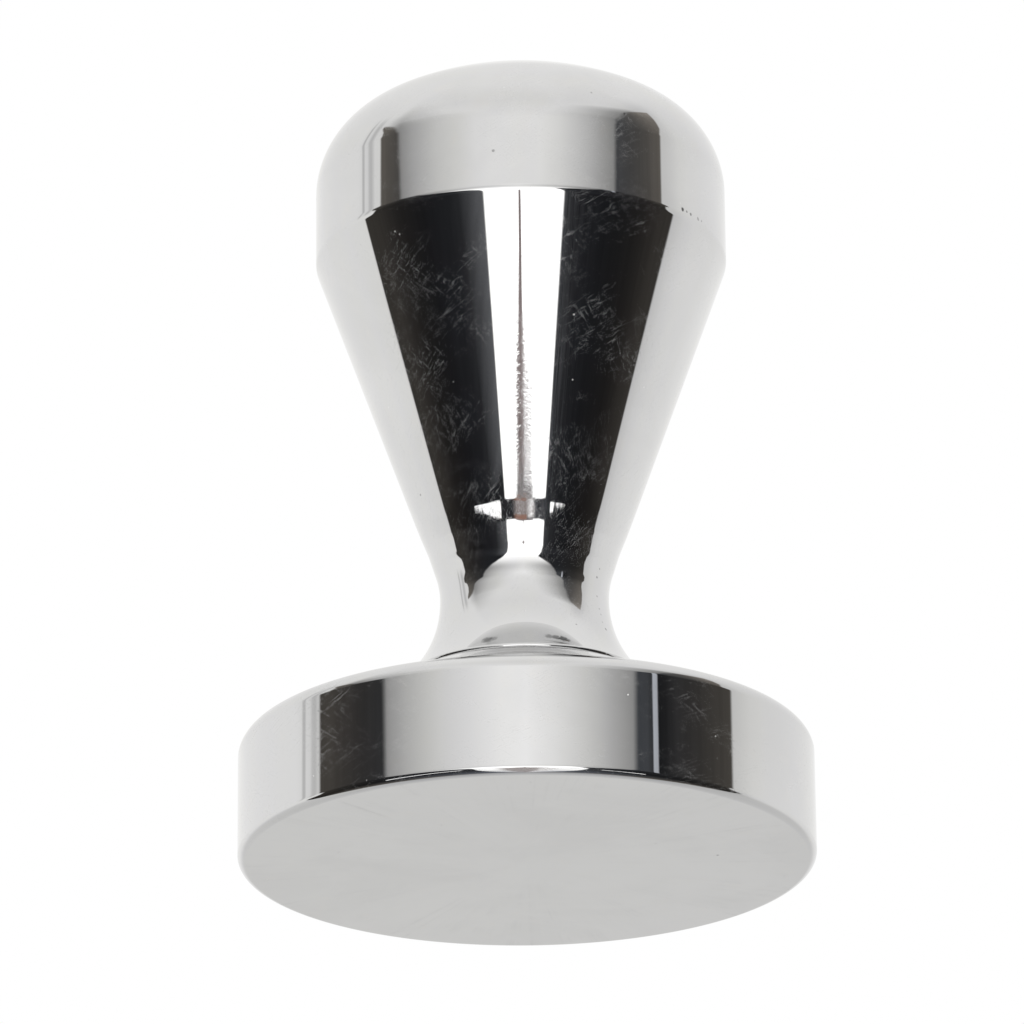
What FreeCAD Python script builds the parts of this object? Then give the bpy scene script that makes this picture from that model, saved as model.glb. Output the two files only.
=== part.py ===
import FreeCAD, Part
import math
import os

import Sketcher

# Espresso tamper, 58 mm, all metal.
# Row frame: millimetres, +Z up along the turning axis, origin at the centre of
# the flat tamping face, which is the face the tamper stands on.
#
#   tamping_base   turned stainless disc with a flared hub and a blind M8 thread
#   seam_washer    thin washer between the hub and the foot of the handle
#   threaded_stud  M8 x 25 set screw, flat ends, hexagon socket in its lower end
#   handle         one turned piece: flared foot, waist, cone, band and dome

V = FreeCAD.Vector
doc = FreeCAD.newDocument("espresso_tamper")

# ---------------------------------------------------------------- dimensions
DIMS = [
    # base
    ("base_rad", 29.0, "outer radius of the disc, half of 58 mm"),
    ("rim_height", 12.6, "height of the rim over the tamping face"),
    ("rim_round", 1.7, "rounding of the rim's upper edge"),
    ("face_round", 0.8, "rounding of the tamping face's edge"),
    ("hub_height", 18.41, "height of the hub's flat top"),
    ("seam_round", 0.12, "rounding of the hub's upper edge"),
    # waist, shared by the hub and the handle
    ("flare_rad", 12.25, "radius of the concave flare under the waist"),
    ("waist_rad", 8.58, "smallest radius of the waist"),
    ("waist_height", 27.83, "height of the waist"),
    ("neck_rad", 9.5, "radius of the concave arc over the waist"),
    # knob
    ("band_rad", 21.2, "radius of the cylindrical band"),
    ("band_low", 64.9, "height where the band starts"),
    ("band_high", 72.33, "height where the band ends"),
    ("knob_round", 2.0, "rounding between cone and band"),
    ("shoulder_rad", 9.26, "radius of the dome's shoulder"),
    ("total_height", 84.8, "height of the dome's top"),
    ("foot_round", 0.28, "rounding of the handle foot's edge"),
    # washer
    ("washer_thick", 0.3, "thickness of the seam washer"),
    ("washer_rad", 12.0, "outer radius of the seam washer"),
    ("washer_bore", 4.3, "radius of the washer's hole"),
    # M8 x 1.25 thread
    ("pitch", 1.25, "thread pitch"),
    ("crest_rad", 3.93, "radius over the stud's thread"),
    ("root_rad", 3.19, "radius of the stud's thread root"),
    ("tap_rad", 3.4, "radius of the tapped holes' crests"),
    ("tap_root", 4.0, "radius of the tapped holes' roots"),
    ("crest_half", 0.08, "half width of the stud's crest"),
    ("flank_gap", 0.08, "axial clearance on each thread flank"),
    ("relief_rad", 4.1, "radius of the thread reliefs"),
    ("relief_width", 2.0, "width of the thread reliefs"),
    ("entry_rad", 4.2, "radius of the countersinks"),
    ("thread_start", 6.4, "height of a thread groove's middle on the +X side"),
    # stud and holes
    ("stud_low", 7.0, "height of the stud's lower end"),
    ("stud_length", 25.0, "length of the stud"),
    ("stud_bevel", 0.9, "bevel of the stud's ends"),
    ("socket_rad", 2.309, "corner radius of the hexagon socket, 4 mm across flats"),
    ("socket_depth", 5.0, "depth of the hexagon socket"),
    ("base_hole_low", 5.5, "height of the bottom of the hole in the base"),
]
sheet = doc.addObject("Spreadsheet::Sheet", "Dims")
D = {}
for row, (alias, value, note) in enumerate(DIMS, start=1):
    sheet.set("A%d" % row, alias)
    sheet.set("B%d" % row, str(value))
    sheet.set("C%d" % row, note)
    sheet.setAlias("B%d" % row, alias)
    D[alias] = float(value)
doc.recompute()


# ------------------------------------------------------------------- helpers
def new_body(label):
    body = doc.addObject("PartDesign::Body", label)
    body.Label = label
    return body


def origin_plane(body, role):
    for item in body.Origin.OriginFeatures:
        if item.Role == role:
            return item
    raise RuntimeError("no origin plane " + role)


def new_sketch(body, name, role):
    sk = body.newObject("Sketcher::SketchObject", name)
    sk.AttachmentSupport = [(origin_plane(body, role), "")]
    sk.MapMode = "FlatFace"
    return sk


def line(sk, p, q):
    return sk.addGeometry(Part.LineSegment(V(p[0], p[1], 0), V(q[0], q[1], 0)), False)


def arc(sk, c, r, a0, a1):
    """Counter-clockwise arc from angle a0 to angle a1, in radians."""
    circle = Part.Circle(V(c[0], c[1], 0), V(0, 0, 1), r)
    return sk.addGeometry(Part.ArcOfCircle(circle, a0, a1), False)


def tie(sk, kind, *args):
    return sk.addConstraint(Sketcher.Constraint(kind, *args))


def drive(sk, name, expression, kind, *args):
    """A dimension of the sketch that follows the spreadsheet."""
    index = sk.addConstraint(Sketcher.Constraint(kind, *args))
    sk.renameConstraint(index, name)
    sk.setExpression("Constraints." + name, expression)


def closed_polygon(sk, points):
    """Straight closed outline; returns the indices of its lines."""
    n = len(points)
    ids = [line(sk, points[i], points[(i + 1) % n]) for i in range(n)]
    for i in range(n):
        tie(sk, "Coincident", ids[i], 2, ids[(i + 1) % n], 1)
    return ids


def revolve(body, sk, name, kind="PartDesign::Revolution"):
    feature = body.newObject(kind, name)
    feature.Profile = sk
    feature.ReferenceAxis = (sk, ["V_Axis"])
    feature.Angle = 360.0
    feature.Midplane = False
    sk.Visibility = False
    return feature


def round_circle(body, name, expression, height, radius_low, radius_high):
    """Fillet on the circular edge at one height and in one range of radii."""
    doc.recompute()
    base = body.Tip
    names = []
    for i, edge in enumerate(base.Shape.Edges, start=1):
        if edge.Degenerated or not isinstance(edge.Curve, Part.Circle):
            continue
        curve = edge.Curve
        if abs(curve.Center.z - height) < 1e-3 and radius_low < curve.Radius < radius_high:
            names.append("Edge%d" % i)
    if not names:
        raise RuntimeError("no edge for " + name)
    fillet = body.newObject("PartDesign::Fillet", name)
    fillet.Base = (base, names)
    fillet.Radius = 0.1
    fillet.setExpression("Radius", expression)
    doc.recompute()
    return fillet


def cut_helix(body, sk, name, length_expression):
    feature = body.newObject("PartDesign::SubtractiveHelix", name)
    feature.Profile = sk
    feature.ReferenceAxis = (sk, ["V_Axis"])
    feature.Mode = 0
    feature.Pitch = D["pitch"]
    feature.Height = 10.0
    feature.Angle = 0
    feature.LeftHanded = False
    feature.Reversed = False
    feature.setExpression("Pitch", "Dims.pitch")
    feature.setExpression("Height", length_expression)
    if hasattr(feature, "HasBeenEdited"):
        feature.HasBeenEdited = True
    sk.Visibility = False
    return feature


def thread_profile(body, name, inner, outer, middle, half_inner, half_outer):
    """Trapezium of one thread groove, symmetric about the height 'middle'.

    Each of the five arguments is a pair: value now, expression in the sheet.
    """
    sk = new_sketch(body, name, "XZ_Plane")
    ri, ro, zm, hi, ho = inner[0], outer[0], middle[0], half_inner[0], half_outer[0]
    ids = closed_polygon(
        sk, [(ri, zm - hi), (ro, zm - ho), (ro, zm + ho), (ri, zm + hi)]
    )
    tie(sk, "Vertical", ids[1])
    tie(sk, "Vertical", ids[3])
    drive(sk, "inner", inner[1], "DistanceX", -1, 1, ids[0], 1, ri)
    drive(sk, "outer", outer[1], "DistanceX", -1, 1, ids[0], 2, ro)
    drive(sk, "low_in", "(%s) - (%s)" % (middle[1], half_inner[1]), "DistanceY", -1, 1, ids[0], 1, zm - hi)
    drive(sk, "width_in", "2 * (%s)" % half_inner[1], "DistanceY", ids[0], 1, ids[2], 2, 2 * hi)
    drive(sk, "low_out", "(%s) - (%s)" % (middle[1], half_outer[1]), "DistanceY", -1, 1, ids[0], 2, zm - ho)
    drive(sk, "width_out", "2 * (%s)" % half_outer[1], "DistanceY", ids[0], 2, ids[1], 2, 2 * ho)
    return sk


FLANK = math.tan(math.radians(30.0))


# -------------------------------------------------------------- tamping base
# Flat face at z = 0, straight wall, rounded rim, a gently sloping top and a
# concave flare that rises to the hub. The flare carries on over the seam as
# the flared foot of the handle: both arcs have the same centre.
def common_tangent_slope():
    """Slope of the line that touches the rim's rounding and the flare."""
    dx = (D["waist_rad"] + D["flare_rad"]) - (D["base_rad"] - D["rim_round"])
    dz = D["waist_height"] - (D["rim_height"] - D["rim_round"])
    reach = math.hypot(dx, dz)
    return math.acos((D["flare_rad"] + D["rim_round"]) / reach) - math.atan2(-dx, dz)


base = new_body("tamping_base")
sk = new_sketch(base, "base_profile", "XZ_Plane")
slope = common_tangent_slope()
cr = (D["base_rad"] - D["rim_round"], D["rim_height"] - D["rim_round"])
cf = (D["waist_rad"] + D["flare_rad"], D["waist_height"])
p_rim = (cr[0] + D["rim_round"] * math.sin(slope), cr[1] + D["rim_round"] * math.cos(slope))
p_flare = (cf[0] - D["flare_rad"] * math.sin(slope), cf[1] - D["flare_rad"] * math.cos(slope))
a_seam = math.pi + math.asin((cf[1] - D["hub_height"]) / D["flare_rad"])
p_seam = (cf[0] + D["flare_rad"] * math.cos(a_seam), D["hub_height"])
g_face = line(sk, (0, 0), (D["base_rad"], 0))
g_wall = line(sk, (D["base_rad"], 0), (D["base_rad"], cr[1]))
g_rim = arc(sk, cr, D["rim_round"], 0.0, math.pi / 2 - slope)
g_top = line(sk, p_rim, p_flare)
g_flare = arc(sk, cf, D["flare_rad"], a_seam, 1.5 * math.pi - slope)
g_hub = line(sk, p_seam, (0, D["hub_height"]))
g_axis = line(sk, (0, D["hub_height"]), (0, 0))
tie(sk, "Coincident", g_face, 1, -1, 1)
tie(sk, "Coincident", g_face, 2, g_wall, 1)
tie(sk, "Tangent", g_wall, 2, g_rim, 1)
tie(sk, "Tangent", g_rim, 2, g_top, 1)
tie(sk, "Tangent", g_top, 2, g_flare, 2)
tie(sk, "Coincident", g_flare, 1, g_hub, 1)
tie(sk, "Coincident", g_hub, 2, g_axis, 1)
tie(sk, "Coincident", g_axis, 2, g_face, 1)
tie(sk, "Horizontal", g_face)
tie(sk, "Vertical", g_wall)
tie(sk, "Horizontal", g_hub)
tie(sk, "Vertical", g_axis)
drive(sk, "base_rad", "Dims.base_rad", "DistanceX", -1, 1, g_wall, 1, D["base_rad"])
drive(sk, "rim_round", "Dims.rim_round", "Radius", g_rim, D["rim_round"])
drive(sk, "rim_centre", "Dims.rim_height - Dims.rim_round", "DistanceY", -1, 1, g_rim, 3, cr[1])
drive(sk, "flare_rad", "Dims.flare_rad", "Radius", g_flare, D["flare_rad"])
drive(sk, "flare_out", "Dims.waist_rad + Dims.flare_rad", "DistanceX", -1, 1, g_flare, 3, cf[0])
drive(sk, "flare_up", "Dims.waist_height", "DistanceY", -1, 1, g_flare, 3, cf[1])
drive(sk, "hub_height", "Dims.hub_height", "DistanceY", -1, 1, g_axis, 1, D["hub_height"])
revolve(base, sk, "base_disc")
round_circle(base, "face_edge", "Dims.face_round", 0.0, D["base_rad"] - 0.5, D["base_rad"] + 0.5)
round_circle(base, "seam_edge", "Dims.seam_round", D["hub_height"], 10.0, 16.0)
doc.recompute()
volume_before = base.Shape.Volume

# Blind hole from the hub's top: countersink, thread crests, relief, flat end.
sk = new_sketch(base, "base_hole_profile", "XZ_Plane")
low, top = D["base_hole_low"], D["hub_height"]
sink = D["entry_rad"] - D["tap_rad"]
over = 1.0
pts = [
    (0, low),
    (D["relief_rad"], low),
    (D["relief_rad"], low + D["relief_width"]),
    (D["tap_rad"], low + D["relief_width"]),
    (D["tap_rad"], top - sink),
    (D["entry_rad"], top),
    (D["entry_rad"], top + over),
    (0, top + over),
]
ids = closed_polygon(sk, pts)
for i in (0, 2, 6):
    tie(sk, "Horizontal", ids[i])
for i in (1, 3, 5, 7):
    tie(sk, "Vertical", ids[i])
tie(sk, "PointOnObject", ids[0], 1, -2)
drive(sk, "low", "Dims.base_hole_low", "DistanceY", -1, 1, ids[0], 1, low)
drive(sk, "relief_rad", "Dims.relief_rad", "DistanceX", -1, 1, ids[0], 2, D["relief_rad"])
drive(sk, "relief_width", "Dims.relief_width", "DistanceY", ids[1], 1, ids[1], 2, D["relief_width"])
drive(sk, "tap_rad", "Dims.tap_rad", "DistanceX", -1, 1, ids[3], 1, D["tap_rad"])
drive(sk, "sink_low", "Dims.hub_height - (Dims.entry_rad - Dims.tap_rad)", "DistanceY", -1, 1, ids[3], 2, top - sink)
drive(sk, "entry_rad", "Dims.entry_rad", "DistanceX", -1, 1, ids[5], 1, D["entry_rad"])
drive(sk, "mouth", "Dims.hub_height", "DistanceY", -1, 1, ids[5], 1, top)
drive(sk, "over", "Dims.hub_height + 1", "DistanceY", -1, 1, ids[6], 1, top + over)
revolve(base, sk, "base_hole", "PartDesign::Groove")
doc.recompute()
if not base.Shape.Volume < volume_before - 300.0:
    raise RuntimeError("the hole in the base removes nothing")
volume_before = base.Shape.Volume

tap_half_in = D["crest_half"] + (D["crest_rad"] - 3.3) * FLANK + D["flank_gap"]
tap_half_out = D["crest_half"] + (D["crest_rad"] - D["tap_root"]) * FLANK + D["flank_gap"]
TAP_IN = (tap_half_in, "Dims.crest_half + (Dims.crest_rad - (Dims.tap_rad - 0.1)) * tan(30 deg) + Dims.flank_gap")
TAP_OUT = (tap_half_out, "Dims.crest_half + (Dims.crest_rad - Dims.tap_root) * tan(30 deg) + Dims.flank_gap")
sk = thread_profile(
    base,
    "base_thread_profile",
    (D["tap_rad"] - 0.1, "Dims.tap_rad - 0.1"),
    (D["tap_root"], "Dims.tap_root"),
    (D["thread_start"], "Dims.thread_start"),
    TAP_IN,
    TAP_OUT,
)
cut_helix(base, sk, "base_thread", "10 * Dims.pitch")
doc.recompute()
if not base.Shape.Volume < volume_before - 20.0:
    raise RuntimeError("the thread in the base removes nothing")

# --------------------------------------------------------------- seam washer
washer = new_body("seam_washer")
sk = new_sketch(washer, "washer_profile", "XY_Plane")
outer_ring = sk.addGeometry(Part.Circle(V(0, 0, 0), V(0, 0, 1), D["washer_rad"]), False)
inner_ring = sk.addGeometry(Part.Circle(V(0, 0, 0), V(0, 0, 1), D["washer_bore"]), False)
tie(sk, "Coincident", outer_ring, 3, -1, 1)
tie(sk, "Coincident", inner_ring, 3, -1, 1)
drive(sk, "washer_rad", "Dims.washer_rad", "Radius", outer_ring, D["washer_rad"])
drive(sk, "washer_bore", "Dims.washer_bore", "Radius", inner_ring, D["washer_bore"])
pad = washer.newObject("PartDesign::Pad", "washer_disc")
pad.Profile = sk
pad.Length = D["washer_thick"]
pad.setExpression("Length", "Dims.washer_thick")
sk.Visibility = False
washer.setExpression("Placement.Base.z", "Dims.hub_height")

# ------------------------------------------------------------- threaded stud
stud = new_body("threaded_stud")
sk = new_sketch(stud, "stud_profile", "XZ_Plane")
L, C, B = D["stud_length"], D["crest_rad"], D["stud_bevel"]
ids = closed_polygon(sk, [(0, 0), (C - B, 0), (C, B), (C, L - B), (C - B, L), (0, L)])
tie(sk, "Coincident", ids[0], 1, -1, 1)
tie(sk, "Horizontal", ids[0])
tie(sk, "Vertical", ids[2])
tie(sk, "Horizontal", ids[4])
tie(sk, "Vertical", ids[5])
drive(sk, "crest_rad", "Dims.crest_rad", "DistanceX", -1, 1, ids[2], 1, C)
drive(sk, "low_bevel", "Dims.stud_bevel", "DistanceY", -1, 1, ids[2], 1, B)
drive(sk, "low_flat", "Dims.crest_rad - Dims.stud_bevel", "DistanceX", -1, 1, ids[1], 1, C - B)
drive(sk, "high_bevel", "Dims.stud_length - Dims.stud_bevel", "DistanceY", -1, 1, ids[2], 2, L - B)
drive(sk, "high_flat", "Dims.crest_rad - Dims.stud_bevel", "DistanceX", -1, 1, ids[4], 1, C - B)
drive(sk, "stud_length", "Dims.stud_length", "DistanceY", -1, 1, ids[4], 1, L)
revolve(stud, sk, "stud_blank")
doc.recompute()
volume_before = stud.Shape.Volume

reach = D["crest_rad"] + 0.12
cut_half_out = D["pitch"] / 2 - D["crest_half"] + 0.12 * FLANK
cut_half_in = D["pitch"] / 2 - D["crest_half"] - (D["crest_rad"] - D["root_rad"]) * FLANK
first_cut = D["thread_start"] + D["pitch"] / 2 - 2 * D["pitch"] - D["stud_low"]
sk = thread_profile(
    stud,
    "stud_thread_profile",
    (D["root_rad"], "Dims.root_rad"),
    (reach, "Dims.crest_rad + 0.12"),
    (first_cut, "Dims.thread_start + Dims.pitch / 2 - 2 * Dims.pitch - Dims.stud_low"),
    (cut_half_in, "Dims.pitch / 2 - Dims.crest_half - (Dims.crest_rad - Dims.root_rad) * tan(30 deg)"),
    (cut_half_out, "Dims.pitch / 2 - Dims.crest_half + 0.12 * tan(30 deg)"),
)
cut_helix(stud, sk, "stud_thread", "24 * Dims.pitch")
doc.recompute()
if not stud.Shape.Volume < volume_before - 100.0:
    raise RuntimeError("the stud's thread removes nothing")
volume_before = stud.Shape.Volume

sk = new_sketch(stud, "socket_profile", "XY_Plane")
corners = [
    (D["socket_rad"] * math.cos(math.radians(60 * k)), D["socket_rad"] * math.sin(math.radians(60 * k)))
    for k in range(6)
]
ids = closed_polygon(sk, corners)
ring = sk.addGeometry(Part.Circle(V(0, 0, 0), V(0, 0, 1), D["socket_rad"]), True)
tie(sk, "Coincident", ring, 3, -1, 1)
for k in range(6):
    tie(sk, "PointOnObject", ids[k], 1, ring)
for k in range(1, 6):
    tie(sk, "Equal", ids[0], ids[k])
tie(sk, "PointOnObject", ids[0], 1, -1)
drive(sk, "socket_rad", "Dims.socket_rad", "Radius", ring, D["socket_rad"])
pocket = stud.newObject("PartDesign::Pocket", "socket")
pocket.Profile = sk
pocket.Length = D["socket_depth"]
pocket.Reversed = True
pocket.setExpression("Length", "Dims.socket_depth")
sk.Visibility = False
doc.recompute()
if not stud.Shape.Volume < volume_before - 40.0:
    raise RuntimeError("the socket removes nothing")
stud.setExpression("Placement.Base.z", "Dims.stud_low")

# -------------------------------------------------------------------- handle
# Local z = 0 is the flat foot; the body stands on the washer.
handle = new_body("handle")
FOOT = "(Dims.hub_height + Dims.washer_thick)"
foot = D["hub_height"] + D["washer_thick"]
sk = new_sketch(handle, "handle_profile", "XZ_Plane")
zw = D["waist_height"] - foot
zl = D["band_low"] - foot
zh = D["band_high"] - foot
zt = D["total_height"] - foot
cf = (D["waist_rad"] + D["flare_rad"], zw)
cn = (D["waist_rad"] + D["neck_rad"], zw)
ck = (D["band_rad"] - D["knob_round"], zl)
a_foot = math.pi + math.asin(zw / D["flare_rad"])
p_foot = (cf[0] + D["flare_rad"] * math.cos(a_foot), 0.0)
# cone: inner common tangent of the neck arc and the rounding under the band
dx, dz = cn[0] - ck[0], cn[1] - ck[1]
gap = math.hypot(dx, dz)
half = math.asin((D["neck_rad"] + D["knob_round"]) / gap) - math.atan2(dx, -dz)
for _ in range(60):
    error = dx * math.cos(half) - dz * math.sin(half) - (D["neck_rad"] + D["knob_round"])
    slope_error = -dx * math.sin(half) - dz * math.cos(half)
    half -= error / slope_error
p_neck = (cn[0] - D["neck_rad"] * math.cos(half), cn[1] + D["neck_rad"] * math.sin(half))
p_knob = (ck[0] + D["knob_round"] * math.cos(half), ck[1] - D["knob_round"] * math.sin(half))
# dome: shoulder arc, then a crown arc centred on the axis
cs = (D["band_rad"] - D["shoulder_rad"], zh)
t = zt - cs[1] - D["shoulder_rad"]
crown = D["shoulder_rad"] + (cs[0] ** 2 + t * t) / (2 * t)
cc = (0.0, zt - crown)
a_join = math.atan2(cs[1] - cc[1], cs[0])
p_join = (cc[0] + crown * math.cos(a_join), cc[1] + crown * math.sin(a_join))

g_foot = line(sk, (0, 0), p_foot)
g_flare = arc(sk, cf, D["flare_rad"], math.pi, a_foot)
g_neck = arc(sk, cn, D["neck_rad"], math.pi - half, math.pi)
g_cone = line(sk, p_neck, p_knob)
g_round = arc(sk, ck, D["knob_round"], -half, 0.0)
g_band = line(sk, (D["band_rad"], zl), (D["band_rad"], zh))
g_shoulder = arc(sk, cs, D["shoulder_rad"], 0.0, a_join)
g_crown = arc(sk, cc, crown, a_join, math.pi / 2)
g_axis = line(sk, (0, zt), (0, 0))
tie(sk, "Coincident", g_foot, 1, -1, 1)
tie(sk, "Coincident", g_foot, 2, g_flare, 2)
tie(sk, "Tangent", g_flare, 1, g_neck, 2)
tie(sk, "Tangent", g_neck, 1, g_cone, 1)
tie(sk, "Tangent", g_cone, 2, g_round, 1)
tie(sk, "Tangent", g_round, 2, g_band, 1)
tie(sk, "Tangent", g_band, 2, g_shoulder, 1)
tie(sk, "Tangent", g_shoulder, 2, g_crown, 1)
tie(sk, "Coincident", g_crown, 2, g_axis, 1)
tie(sk, "Coincident", g_axis, 2, g_foot, 1)
tie(sk, "Horizontal", g_foot)
tie(sk, "Vertical", g_band)
tie(sk, "Vertical", g_axis)
tie(sk, "PointOnObject", g_crown, 3, -2)
drive(sk, "flare_rad", "Dims.flare_rad", "Radius", g_flare, D["flare_rad"])
drive(sk, "flare_out", "Dims.waist_rad + Dims.flare_rad", "DistanceX", -1, 1, g_flare, 3, cf[0])
drive(sk, "flare_up", "Dims.waist_height - " + FOOT, "DistanceY", -1, 1, g_flare, 3, zw)
tie(sk, "Horizontal", g_flare, 1, g_flare, 3)
drive(sk, "neck_rad", "Dims.neck_rad", "Radius", g_neck, D["neck_rad"])
drive(sk, "knob_round", "Dims.knob_round", "Radius", g_round, D["knob_round"])
drive(sk, "band_rad", "Dims.band_rad", "DistanceX", -1, 1, g_band, 1, D["band_rad"])
drive(sk, "band_low", "Dims.band_low - " + FOOT, "DistanceY", -1, 1, g_band, 1, zl)
drive(sk, "band_high", "Dims.band_high - " + FOOT, "DistanceY", -1, 1, g_band, 2, zh)
drive(sk, "shoulder_rad", "Dims.shoulder_rad", "Radius", g_shoulder, D["shoulder_rad"])
drive(sk, "total_height", "Dims.total_height - " + FOOT, "DistanceY", -1, 1, g_axis, 1, zt)
revolve(handle, sk, "handle_turned")
round_circle(handle, "foot_edge", "Dims.foot_round", 0.0, 10.0, 16.0)
doc.recompute()
volume_before = handle.Shape.Volume

# Blind hole from the foot; the stud's upper end bottoms on its flat end.
sk = new_sketch(handle, "handle_hole_profile", "XZ_Plane")
deep = D["stud_low"] + D["stud_length"] - foot
DEEP = "(Dims.stud_low + Dims.stud_length - %s)" % FOOT
pts = [
    (0, -over),
    (D["entry_rad"], -over),
    (D["entry_rad"], 0),
    (D["tap_rad"], sink),
    (D["tap_rad"], deep - D["relief_width"]),
    (D["relief_rad"], deep - D["relief_width"]),
    (D["relief_rad"], deep),
    (0, deep),
]
ids = closed_polygon(sk, pts)
for i in (0, 4, 6):
    tie(sk, "Horizontal", ids[i])
for i in (1, 3, 5, 7):
    tie(sk, "Vertical", ids[i])
tie(sk, "PointOnObject", ids[0], 1, -2)
tie(sk, "PointOnObject", ids[1], 2, -1)
drive(sk, "over", "1", "DistanceY", ids[0], 1, -1, 1, over)
drive(sk, "entry_rad", "Dims.entry_rad", "DistanceX", -1, 1, ids[1], 1, D["entry_rad"])
drive(sk, "sink", "Dims.entry_rad - Dims.tap_rad", "DistanceY", -1, 1, ids[3], 1, sink)
drive(sk, "tap_rad", "Dims.tap_rad", "DistanceX", -1, 1, ids[3], 1, D["tap_rad"])
drive(sk, "relief_low", DEEP + " - Dims.relief_width", "DistanceY", -1, 1, ids[4], 1, deep - D["relief_width"])
drive(sk, "relief_rad", "Dims.relief_rad", "DistanceX", -1, 1, ids[5], 1, D["relief_rad"])
drive(sk, "deep", DEEP, "DistanceY", -1, 1, ids[6], 1, deep)
revolve(handle, sk, "handle_hole", "PartDesign::Groove")
doc.recompute()
if not handle.Shape.Volume < volume_before - 300.0:
    raise RuntimeError("the hole in the handle removes nothing")
volume_before = handle.Shape.Volume

sk = thread_profile(
    handle,
    "handle_thread_profile",
    (D["tap_rad"] - 0.1, "Dims.tap_rad - 0.1"),
    (D["tap_root"], "Dims.tap_root"),
    (D["thread_start"] + 9 * D["pitch"] - foot, "Dims.thread_start + 9 * Dims.pitch - " + FOOT),
    TAP_IN,
    TAP_OUT,
)
cut_helix(handle, sk, "handle_thread", "10.7 * Dims.pitch")
doc.recompute()
if not handle.Shape.Volume < volume_before - 20.0:
    raise RuntimeError("the thread in the handle removes nothing")
handle.setExpression("Placement.Base.z", "Dims.hub_height + Dims.washer_thick")

# -------------------------------------------------------------------- checks
doc.recompute()
for obj in doc.Objects:
    bad = [word for word in obj.State if word in ("Invalid", "Error")]
    if bad:
        raise RuntimeError("%s: %s" % (obj.Name, bad))
for obj in doc.Objects:
    if obj.TypeId == "Sketcher::SketchObject":
        free = obj.solve()
        if free != 0:
            raise RuntimeError("%s does not solve: %s" % (obj.Name, free))
NODES = [base, washer, stud, handle]
for body in NODES:
    shape = body.Shape
    if shape.isNull() or not shape.isValid() or len(shape.Solids) != 1:
        raise RuntimeError("%s has no single valid solid" % body.Label)
    box = shape.BoundBox
    print(
        "%-14s volume %9.1f mm3   z %6.2f .. %6.2f   radius %6.2f"
        % (body.Label, shape.Volume, box.ZMin, box.ZMax, box.XMax)
    )

os.makedirs("parts", exist_ok=True)
for body in NODES:
    body.Shape.exportStep("parts/%s.step" % body.Label)
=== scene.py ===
import math

import bpy
import bmesh
from mathutils import Matrix, Vector


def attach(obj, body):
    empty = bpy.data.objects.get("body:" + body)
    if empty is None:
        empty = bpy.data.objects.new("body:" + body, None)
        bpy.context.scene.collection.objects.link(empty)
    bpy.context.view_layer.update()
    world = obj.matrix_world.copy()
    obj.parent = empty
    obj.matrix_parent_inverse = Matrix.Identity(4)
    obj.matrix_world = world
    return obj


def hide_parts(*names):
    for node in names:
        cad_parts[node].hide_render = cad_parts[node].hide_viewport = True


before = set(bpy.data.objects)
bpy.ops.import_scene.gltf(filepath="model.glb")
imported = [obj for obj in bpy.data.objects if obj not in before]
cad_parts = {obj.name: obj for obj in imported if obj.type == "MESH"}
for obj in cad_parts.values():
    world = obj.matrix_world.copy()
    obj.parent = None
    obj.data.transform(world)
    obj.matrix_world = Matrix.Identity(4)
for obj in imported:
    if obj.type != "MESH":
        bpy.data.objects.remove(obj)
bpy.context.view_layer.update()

scene = bpy.context.scene
scene.view_settings.view_transform = "Standard"
scene.view_settings.look = "None"
scene.view_settings.exposure = 0.0
scene.view_settings.gamma = 1.0


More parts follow.
